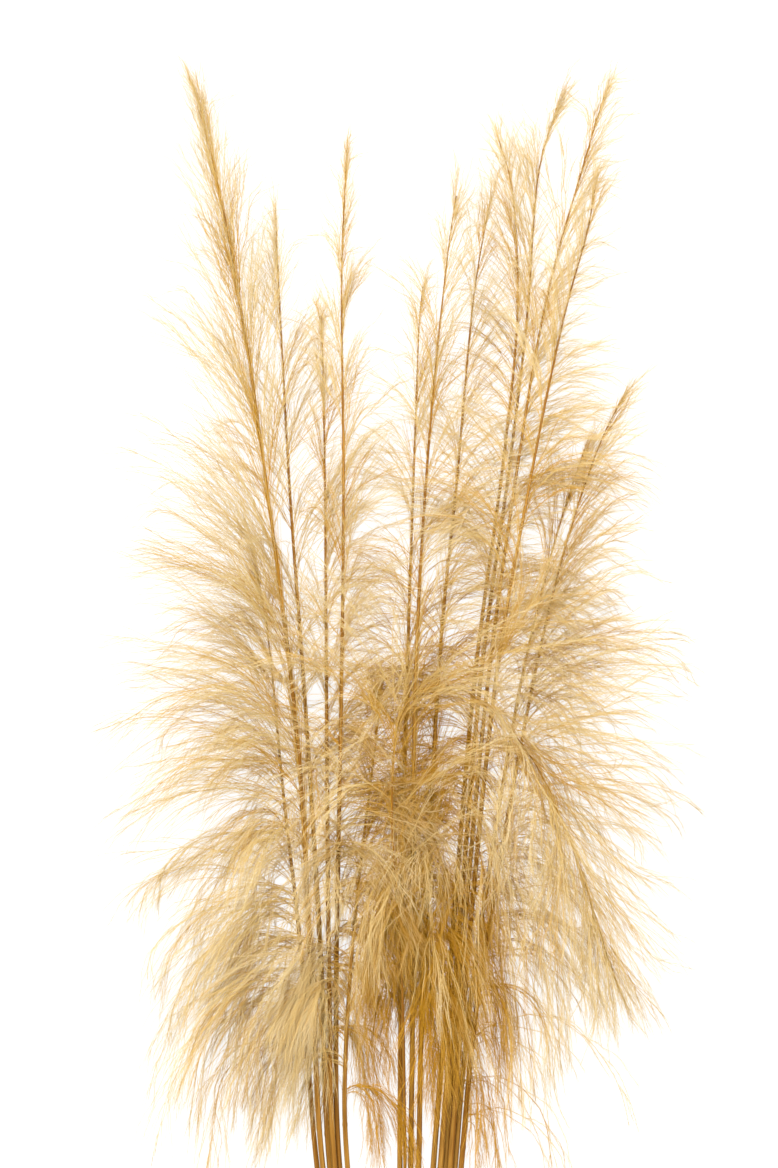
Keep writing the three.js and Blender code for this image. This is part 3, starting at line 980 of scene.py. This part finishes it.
# %% [markdown]
# ## The hair tree
#
# Hundreds of lines have to become strands with fine hairs on them. Modelling them one by one is
# out of the question, and a particle system doesn't end up as a plain mesh, so one Geometry Nodes
# tree does it for every plume. It is given the lines, with a radius and a map place for each
# point. Its named inputs set how close, how long and how thick the fine hairs are, in metres.

# %% Inputs of the hair tree
HAIR_SPACING = 4
HAIR_LENGTH = (9, 21)
HAIR_RADIUS = 0.13
HAIR_LEAN = 0.3
RANGE_SOCKETS = {"FLOAT": (2, 3), "FLOAT_VECTOR": (0, 1)}


def named_value(tree, name):
    """A value that the lines carry for each point."""
    return add_node(tree, "GeometryNodeInputNamedAttribute", {"data_type": "FLOAT"}, {"Name": name})


def random_value(tree, kind, least, most, seed):
    """A value drawn for each point from a range."""
    first, second = RANGE_SOCKETS[kind]
    return add_node(
        tree,
        "FunctionNodeRandomValue",
        {"data_type": kind},
        {first: least, second: most, "Seed": seed},
    )


hair_tree = bpy.data.node_groups.new("strands_and_hairs", "GeometryNodeTree")
hair_tree.interface.new_socket("Hair", in_out="OUTPUT", socket_type="NodeSocketGeometry")
for name, kind, value in (
    ("Lines", "NodeSocketGeometry", None),
    ("Hair spacing", "NodeSocketFloat", HAIR_SPACING * MM),
    ("Shortest hair", "NodeSocketFloat", HAIR_LENGTH[0] * MM),
    ("Longest hair", "NodeSocketFloat", HAIR_LENGTH[1] * MM),
    ("Hair radius", "NodeSocketFloat", HAIR_RADIUS * MM),
    ("Hair lean", "NodeSocketFloat", HAIR_LEAN),
    ("Seed", "NodeSocketInt", 1),
    ("Finish", "NodeSocketMaterial", None),
):
    tree_input = hair_tree.interface.new_socket(name, in_out="INPUT", socket_type=kind)
    if value is not None:
        tree_input.default_value = value
given = add_node(hair_tree, "NodeGroupInput")
print("inputs:", [socket.name for socket in given.socket.node.outputs if socket.name])

# %% [markdown]
# ## Strands
#
# Each line becomes a closed three-sided strand that gets thinner towards its end. Three sides are
# enough for something less than a millimetre across, and they keep the number of faces down.

# %% Strands
curves = add_node(hair_tree, "GeometryNodeMeshToCurve", None, {"Mesh": given.named("Lines")})
triangle = add_node(
    hair_tree, "GeometryNodeCurvePrimitiveCircle", None, {"Resolution": 3, "Radius": 1.0}
)
strands = add_node(
    hair_tree,
    "GeometryNodeCurveToMesh",
    None,
    {
        "Curve": curves,
        "Profile Curve": triangle,
        "Scale": named_value(hair_tree, "strand_radius"),
        "Fill Caps": True,
    },
)
print("hair tree nodes so far:", len(hair_tree.nodes))

# %% [markdown]
# ## Fine hairs
#
# Points are set along the lines, and a fine hair is put on each point: a long thin spike of four
# faces, which leans a few degrees off its strand in a random direction. The spikes are many, so
# they have as few faces as a closed shape can have.

# %% Fine hairs
STRAY_LEAST = (-1, -1, -0.6)
STRAY_MOST = (1, 0.8, 0.6)

seats = add_node(
    hair_tree,
    "GeometryNodeCurveToPoints",
    {"mode": "LENGTH"},
    {"Curve": curves, "Length": given.named("Hair spacing")},
)
spike = add_node(
    hair_tree,
    "GeometryNodeMeshCone",
    None,
    {"Vertices": 3, "Radius Top": 0.0, "Radius Bottom": 1.0, "Depth": 1.0},
)
seed = given.named("Seed")
stray = random_value(hair_tree, "FLOAT_VECTOR", STRAY_LEAST, STRAY_MOST, seed)
lean = add_node(
    hair_tree,
    "ShaderNodeVectorMath",
    {"operation": "SCALE"},
    {0: stray, "Scale": given.named("Hair lean")},
)
heading = add_node(
    hair_tree, "ShaderNodeVectorMath", {"operation": "ADD"}, {0: seats.named("Tangent"), 1: lean}
)
turned = add_node(
    hair_tree, "FunctionNodeAlignRotationToVector", {"axis": "Z"}, {"Vector": heading}
)
long = random_value(
    hair_tree, "FLOAT", given.named("Shortest hair"), given.named("Longest hair"), seed + 1
)
radius = given.named("Hair radius")
size = add_node(hair_tree, "ShaderNodeCombineXYZ", None, {"X": radius, "Y": radius, "Z": long})
spikes = add_node(
    hair_tree,
    "GeometryNodeInstanceOnPoints",
    None,
    {"Points": seats, "Instance": spike, "Rotation": turned, "Scale": size},
)
print("hair tree nodes so far:", len(hair_tree.nodes))

# %% [markdown]
# ## Places on the map
#
# Strands and hairs are joined and made real, and each corner stores its place on the map. Every
# face of a hair would have the same place, and a map needs faces with some width. So each corner
# is shifted by a tiny amount.

# %% Places on the map
MAP_SHIFT = 0.012

joined = add_node(hair_tree, "GeometryNodeJoinGeometry")
hair_tree.links.new(strands.socket, joined.socket.node.inputs[0])
hair_tree.links.new(spikes.socket, joined.socket.node.inputs[0])
real = add_node(hair_tree, "GeometryNodeRealizeInstances", None, {"Geometry": joined})
shift_range = (-MAP_SHIFT, -MAP_SHIFT, 0), (MAP_SHIFT, MAP_SHIFT, 0)
shift = random_value(hair_tree, "FLOAT_VECTOR", *shift_range, seed + 2)
map_place = add_node(
    hair_tree,
    "ShaderNodeCombineXYZ",
    None,
    {"X": named_value(hair_tree, "outness"), "Y": named_value(hair_tree, "tone")},
)
map_place = add_node(
    hair_tree, "ShaderNodeVectorMath", {"operation": "ADD"}, {0: map_place, 1: shift}
)
mapped = add_node(
    hair_tree,
    "GeometryNodeStoreNamedAttribute",
    {"data_type": "FLOAT2", "domain": "CORNER"},
    {"Geometry": real, "Name": HAIR_MAP, "Value": map_place},
)
print("hair tree nodes so far:", len(hair_tree.nodes))

# %% [markdown]
# ## Hairs on the floor
#
# The lines lie on the floor already, but a hair that leans down from one could still pass through
# it. So the lowest few millimetres are pressed together once more, now for every corner.

# %% Hairs on the floor
PRESSED_BELOW = 4 * MM
LOWEST_CORNER = 0.15 * MM

here = add_node(hair_tree, "GeometryNodeInputPosition")
corner = add_node(hair_tree, "ShaderNodeSeparateXYZ", None, {0: here})
height = corner.named("Z")
pressed = LOWEST_CORNER + PRESSED_BELOW * add_node(
    hair_tree,
    "ShaderNodeMath",
    {"operation": "EXPONENT"},
    {0: (height - PRESSED_BELOW) / PRESSED_BELOW},
)
is_low = add_node(
    hair_tree,
    "ShaderNodeMath",
    {"operation": "LESS_THAN"},
    {0: height, 1: PRESSED_BELOW + LOWEST_CORNER},
)
settled = height + is_low * (pressed - height)
laid = add_node(
    hair_tree,
    "ShaderNodeCombineXYZ",
    None,
    {"X": corner.named("X"), "Y": corner.named("Y"), "Z": settled},
)
resting = add_node(
    hair_tree, "GeometryNodeSetPosition", None, {"Geometry": mapped, "Position": laid}
)
dressed = add_node(
    hair_tree,
    "GeometryNodeSetMaterial",
    None,
    {"Geometry": resting, "Material": given.named("Finish")},
)
ending = hair_tree.nodes.new("NodeGroupOutput")
hair_tree.links.new(dressed.socket, ending.inputs[0])
print("hair tree nodes:", len(hair_tree.nodes))

# %% [markdown]
# ## From lines to a plain mesh
#
# A plume's lines go into one mesh of edges, with the radius, the outness and the tone of each
# point. The tree runs on that mesh as a modifier. Its result is taken off as a plain mesh, because
# a live modifier would be lost in the export.


# %% From lines to a plain mesh
def edge_mesh(name, sets):
    """A mesh of open lines from sets of (points, {value name: values})."""
    places, edges, values, first = [], [], {}, 0
    for points, given_values in sets:
        rows, steps = points.shape[:2]
        index = first + np.arange(rows * steps).reshape(rows, steps)
        edges.append(np.stack([index[:, :-1].ravel(), index[:, 1:].ravel()], axis=1))
        places.append(points.reshape(-1, 3))
        for key, value in given_values.items():
            values.setdefault(key, []).append(np.broadcast_to(value, (rows, steps)).ravel())
        first += rows * steps
    places = np.concatenate(places) * MM
    edges = np.concatenate(edges)
    mesh = bpy.data.meshes.new(name)
    mesh.vertices.add(len(places))
    mesh.vertices.foreach_set("co", places.ravel())
    mesh.edges.add(len(edges))
    mesh.edges.foreach_set("vertices", edges.ravel())
    for key, parts in values.items():
        attribute = mesh.attributes.new(key, "FLOAT", "POINT")
        attribute.data.foreach_set("value", np.concatenate(parts).astype(np.float32))
    mesh.update()
    return mesh


def plain_mesh(obj, settings, tree):
    """Runs a tree on an object with its inputs set, and returns the result as a plain mesh."""
    modifier = obj.modifiers.new("grow", "NODES")
    modifier.node_group = tree
    for item in tree.interface.items_tree:
        if item.item_type == "SOCKET" and item.in_out == "INPUT" and item.name in settings:
            modifier[item.identifier] = settings[item.name]
    evaluated = obj.evaluated_get(bpy.context.evaluated_depsgraph_get())
    mesh = bpy.data.meshes.new_from_object(evaluated)
    obj.modifiers.remove(modifier)
    return mesh


print("the tree is set by:", [item.name for item in hair_tree.interface.items_tree][1:])

# %% [markdown]
# ## The lines of a plume
#
# Branches are two thirds of a millimetre thick, and side branches and rachis strands end at less
# than half of that. Hair deep in the middle of the bundle looks brown, because light reaches it
# only through other hair. A few bounces of light don't show that by themselves, so what lies deep
# is moved towards the brown side of the map.

# %% Lines of a plume
BRANCH_RADIUS = (0.3, 0.42)
BRANCH_END_RADIUS = 0.3
SIDE_RADIUS = (0.25, 0.14)
STRAND_RADIUS = (0.34, 0.14)
BRANCH_OUTNESS = 0.85
SIDE_START_OUTNESS = 0.7
SIDE_OUTNESS = 0.3
STRAND_OUTNESS = 0.25
STRAND_TONE = 0.55
TONE_OF_STREAM = 0.4
DEEP_HEIGHTS = (105, 50)
DEEP_MIDDLE = 35
DEEP_WIDTHS = (105, 52.5)
DEEP_LENGTHS = (900, 700)
DEPTH_INNESS = 0.7


def buried(points):
    """How deep points lie in the middle of the bundle, from 0 to 1."""
    below = share_between(DEEP_HEIGHTS, points[..., 2])
    middle = share_between(DEEP_WIDTHS, np.abs(points[..., 0] - DEEP_MIDDLE))
    return below * middle * share_between(DEEP_LENGTHS, points[..., 1])


def carried_values(radius, outness, tone, depth_shade):
    """The values that lines carry, with deep ones moved towards brown as painted shade."""
    outness = outness * (1 - DEPTH_INNESS * depth_shade)
    return dict(strand_radius=radius * MM, outness=outness, tone=tone * (1 - depth_shade))


def hair_lines(stem):
    """Points and carried values of a plume's branches, side branches and rachis strands."""
    points, length, low = branch_lines(stem)
    number = np.flatnonzero(is_leader(np.arange(len(low))) | (low < LOOKS[stem]["bare_from"]))
    points, length, low = laid_down(points[number], LOWEST_AXIS), length[number], low[number]
    share = np.linspace(0, 1, BRANCH_STEPS + 1)
    radius = between((between(BRANCH_RADIUS, low)[:, None], BRANCH_END_RADIUS), share)
    tone = draw(stem, number // COMPANIONS, 30)
    # Painted shade for the lines that lie deep in the bundle.
    depth_shade = LOOKS[stem]["painted_depth_shade"] * buried(points)
    branches = points, carried_values(radius, BRANCH_OUTNESS * share, tone[:, None], depth_shade)

    side_points, which, start = side_branch_lines(stem, points, length, low)
    side_points = laid_down(side_points, LOWEST_SIDE_BRANCH)
    share = np.linspace(0, 1, SIDE_STEPS + 1)
    outness = SIDE_START_OUTNESS * start[:, None] + SIDE_OUTNESS * share
    own_tone = draw(stem, np.arange(len(which)), 31)
    tone = between((own_tone, tone[which]), TONE_OF_STREAM)[:, None]
    depth_shade = LOOKS[stem]["painted_depth_shade"] * buried(side_points)
    sides = side_points, carried_values(between(SIDE_RADIUS, share), outness, tone, depth_shade)

    strand_points = laid_down(rachis_strands(stem), LOWEST_AXIS)
    share = np.linspace(0, 1, STRAND_STEPS + 1)
    tone = STRAND_TONE * draw(stem, np.arange(len(strand_points)), 32)[:, None]
    carried = carried_values(between(STRAND_RADIUS, share), STRAND_OUTNESS * share, tone, 0)
    return branches, sides, (strand_points, carried)


print("lines of the longest plume:", [len(some) for some, _ in hair_lines(1)])

# %% [markdown]
# ## The plumes
#
# The spacing of the fine hairs comes from the total length of the lines, so that every plume stays
# within its share of faces. The fullest plume has the largest share.

# %% Growing the hair
MOST_TRIANGLES = 118_000
CLOSEST_HAIRS = 2.6
HAIR_TRIANGLES = 4


def strand_triangles(points):
    """The triangles of lines as closed three-sided strands."""
    rows, corners = points.shape[:2]
    return rows * (6 * (corners - 1) + 2)


def hair_spacing(stem, sets):
    """How far apart fine hairs are on the lines of a plume, in millimetres."""
    total = sum(np.linalg.norm(np.diff(some, axis=1), axis=2).sum() for some, _ in sets)
    taken = sum(strand_triangles(some) for some, _ in sets)
    left_over = MOST_TRIANGLES * LOOKS[stem]["faces"] - taken
    return max(CLOSEST_HAIRS, total * HAIR_TRIANGLES / left_over)


def grow_hair(stem):
    """The hair of one plume as an object."""
    sets = hair_lines(stem)
    spacing = hair_spacing(stem, sets)
    mesh = edge_mesh("lines", sets)
    seed_lines = bpy.data.objects.new("lines", mesh)
    bpy.context.scene.collection.objects.link(seed_lines)
    settings = {"Hair spacing": spacing * MM, "Seed": stem * 10, "Finish": hair_finish}
    hair_mesh = plain_mesh(seed_lines, settings, hair_tree)
    bpy.data.objects.remove(seed_lines)
    bpy.data.meshes.remove(mesh)
    hair_mesh.name = f"hair_{stem + 1:02d}"
    hair = bpy.data.objects.new(hair_mesh.name, hair_mesh)
    bpy.context.scene.collection.objects.link(hair)
    print(hair.name, sum(len(some) for some, _ in sets), "lines, a hair every", round(spacing, 1), "mm")
    return hair


hairs = [grow_hair(stem) for stem in range(len(STEMS))]

# %% [markdown]
# ## The rings of a culm
#
# A culm is a smooth straw that tapers into the rachis of its plume. It has a few joints, where it
# is a little thicker, and a clean cut end. Rings of corners along the stem's line make it, because
# that gives the joints and the cut end their places. Some culms are a little fuller than others.

# %% Rings of the culms
CULM_SIDES = 12
FIRST_RING = 2
JOINT_SPACING = 215
FIRST_JOINT = (0.3, 0.9)
JOINTLESS_PLUME = 0.75
JOINT_SWELL = 0.13
JOINT_HALF_LENGTH = 3.2
JOINT_RINGS = np.array([-1, -0.5, 0, 0.5, 1])
CUT_PLACES = np.array([0.5, 0.0, 0.0, 0.5])
CUT_FULLNESS = np.array([0.72, 0.78, 0.93, 1.0])
FULLNESS = (0.93, 1.0)


def culm_radius(distances, length, taper):
    """The radius of a culm: even in the gathered end, and then less and less."""
    straight = LIFT_Y - CUT_Y
    share = np.clip((distances - straight) / (length - straight), 0, None)
    return CULM_RADIUS - (CULM_RADIUS - CULM_TIP_RADIUS) * share**taper


def culm_rings(stem):
    """Distances and radii of a culm's rings, with its joints and its cut end."""
    line, distances = lines[stem]
    length = distances[-1]
    first_joint = JOINT_SPACING * between(FIRST_JOINT, draw(stem, 40)[0])
    last_joint = length - STEMS[stem]["plume"] * JOINTLESS_PLUME
    joints = np.arange(first_joint, last_joint, JOINT_SPACING)
    places = [distances[1:]] + [joint + JOINT_HALF_LENGTH * JOINT_RINGS for joint in joints]
    places = np.unique(np.clip(np.concatenate(places), FIRST_RING, length))
    radii = culm_radius(places, length, STEMS[stem].get("taper", CULM_TAPER))
    for joint in joints:
        near = np.clip(1 - np.abs(places - joint) / JOINT_HALF_LENGTH, 0, 1)
        radii = radii * (1 + JOINT_SWELL * near)
    fullness = between(FULLNESS, draw(stem, 41)[0])
    radii = fullness * np.concatenate([CULM_RADIUS * CUT_FULLNESS, radii])
    return np.concatenate([CUT_PLACES, places]), radii


print("rings of the first culm:", len(culm_rings(0)[0]))

# %% [markdown]
# ## The culms
#
# The rings are joined by four-sided walls, and a fan of triangles closes each end. Each corner
# carries a place for the fibres to follow, which runs along the culm as it bends, and the corners
# of the cut end say that they are pith.

# %% Culms
CULM_LOOK = 4
PITH_HOLLOW = 0.3
FIBRE_PITCH = 0.01
FIBRE_SHIFT = 7.3
PITH_RINGS = 2


def culm_corners(stem):
    """The corners of a culm, ring by ring and then the middles of both ends, and where rings are."""
    line, distances = lines[stem]
    places, radii = culm_rings(stem)
    centres = along_line(line, distances, places)
    ahead = along_line(line, distances, np.minimum(places + CULM_LOOK, distances[-1]))
    behind = along_line(line, distances, np.maximum(places - CULM_LOOK, 0))
    tangent = unit(ahead - behind)
    across = unit(np.cross(tangent, UP))[:, None]
    over = np.cross(across, tangent[:, None])
    turn = FULL_TURN * np.arange(CULM_SIDES) / CULM_SIDES
    around = np.stack([np.cos(turn), np.sin(turn)], axis=-1)
    spokes = across * around[None, :, :1] + over * around[None, :, 1:]
    rings = centres[:, None] + spokes * radii[:, None, None]
    ends = centres[:1] + tangent[:1] * PITH_HOLLOW, centres[-1:]
    return np.vstack([rings.reshape(-1, 3), *ends]), places, around


def culm_faces(rings):
    """The walls of a culm and the two fans that close its ends."""
    index = np.arange(rings * CULM_SIDES).reshape(rings, CULM_SIDES)
    after = np.roll(index, -1, axis=1)
    walls = np.stack([index[:-1], after[:-1], after[1:], index[1:]], axis=-1).reshape(-1, 4)
    cut_middle = rings * CULM_SIDES
    cut = [(a, cut_middle, b) for a, b in zip(index[0].tolist(), after[0].tolist())]
    tip = [(b, cut_middle + 1, a) for a, b in zip(index[-1].tolist(), after[-1].tolist())]
    return walls.tolist() + cut + tip


def make_culm(stem, finish):
    """One culm as a closed mesh, with the values that its finish reads."""
    corners, places, around = culm_corners(stem)
    rings = len(places)
    mesh = bpy.data.meshes.new(f"culm_{stem + 1:02d}")
    mesh.from_pydata(corners * MM, [], culm_faces(rings))
    mesh.polygons.foreach_set("use_smooth", np.ones(len(mesh.polygons), bool))

    fibre = np.zeros((len(corners), 3))
    fibre[: rings * CULM_SIDES, :2] = np.tile(around, (rings, 1))
    fibre[: rings * CULM_SIDES, 2] = np.repeat(places, CULM_SIDES) * FIBRE_PITCH
    fibre[:, 0] += FIBRE_SHIFT * stem
    attribute = mesh.attributes.new("fibre", "FLOAT_VECTOR", "POINT")
    attribute.data.foreach_set("vector", fibre.astype(np.float32).ravel())
    pithy = np.zeros(len(corners), np.float32)
    pithy[: PITH_RINGS * CULM_SIDES] = 1
    pithy[rings * CULM_SIDES] = 1
    attribute = mesh.attributes.new("pith", "FLOAT", "POINT")
    attribute.data.foreach_set("value", pithy)
    mesh.materials.append(finish)
    culm = bpy.data.objects.new(mesh.name, mesh)
    bpy.context.scene.collection.objects.link(culm)
    return culm


print("faces of the first culm:", len(culm_faces(len(culm_rings(0)[0]))))

# %% [markdown]
# ## The finish of the culms
#
# A dry culm is golden straw with long darker fibres, browner in patches and a little glossy. Noise
# that is stretched along the culm gives the fibres, and a coarser one the patches. The same fibres
# lift the surface slightly. The cut end shows pale pith.

# %% Culm finish
CULM_GOLD = (0.22, 0.09, 0.008)
CULM_BROWN = (0.12, 0.042, 0.003)
CULM_PALE = (0.38, 0.20, 0.035)
PITH = (0.78, 0.68, 0.48)
FIBRE_NOISE = {"Scale": 3.2, "Detail": 4.0}
PATCH_NOISE = {"Scale": 0.55, "Detail": 2.0}
FIBRE_SHARE = (0.42, 0.66)
PATCH_SHARE = (0.35, 0.7)
FIBRE_STRENGTH = 0.7
FIBRE_LIFT = 0.2
BUMP_STRENGTH = 0.35
CULM_ROUGHNESS = 0.42
FIBRE_ROUGHNESS = 0.25
CULM_SHINE = 0.12


def culm_value(tree, name, output_name):
    """A value that the corners of a culm carry."""
    settings = {"attribute_type": "GEOMETRY", "attribute_name": name}
    return add_node(tree, "ShaderNodeAttribute", settings).named(output_name)


culm_finish, tree, output = new_material("pampas_culm")
fibre = culm_value(tree, "fibre", "Vector")
streaks = add_node(tree, "ShaderNodeTexNoise", None, {"Vector": fibre, **FIBRE_NOISE})
patches = add_node(tree, "ShaderNodeTexNoise", None, {"Vector": fibre, **PATCH_NOISE})
streak = smooth_share(tree, streaks, *FIBRE_SHARE)
patch = smooth_share(tree, patches, *PATCH_SHARE)
straw = blend_colour(tree, patch, CULM_GOLD, CULM_PALE)
straw = blend_colour(tree, streak * FIBRE_STRENGTH, straw, CULM_BROWN)
straw = blend_colour(tree, culm_value(tree, "pith", "Fac"), straw, PITH)
lifted = add_node(
    tree,
    "ShaderNodeBump",
    None,
    {"Strength": BUMP_STRENGTH, "Distance": FIBRE_LIFT * MM, "Height": streaks},
)
surface = add_node(
    tree,
    "ShaderNodeBsdfPrincipled",
    None,
    {
        "Base Color": straw,
        "Roughness": CULM_ROUGHNESS + FIBRE_ROUGHNESS * streak,
        "Specular IOR Level": CULM_SHINE,
        "Normal": lifted,
    },
)
tree.links.new(surface.socket, output.inputs["Surface"])
culms = [make_culm(stem, culm_finish) for stem in range(len(STEMS))]
print("culm faces:", sum(len(culm.data.polygons) for culm in culms))

# %% [markdown]
# ## Handing the pieces over
#
# Each culm and each head of hair rides on the one body and stands for its stem's solid, which is
# hidden. The number of faces of the bundle is then counted and printed.

# %% Pieces and faces
for stem, (culm, hair) in enumerate(zip(culms, hairs)):
    for piece in (culm, hair):
        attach(piece, "root")
        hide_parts(f"plume_{stem + 1:02d}")

faces = sum(len(piece.data.polygons) for piece in culms + hairs)
print("faces of the bundle:", faces)
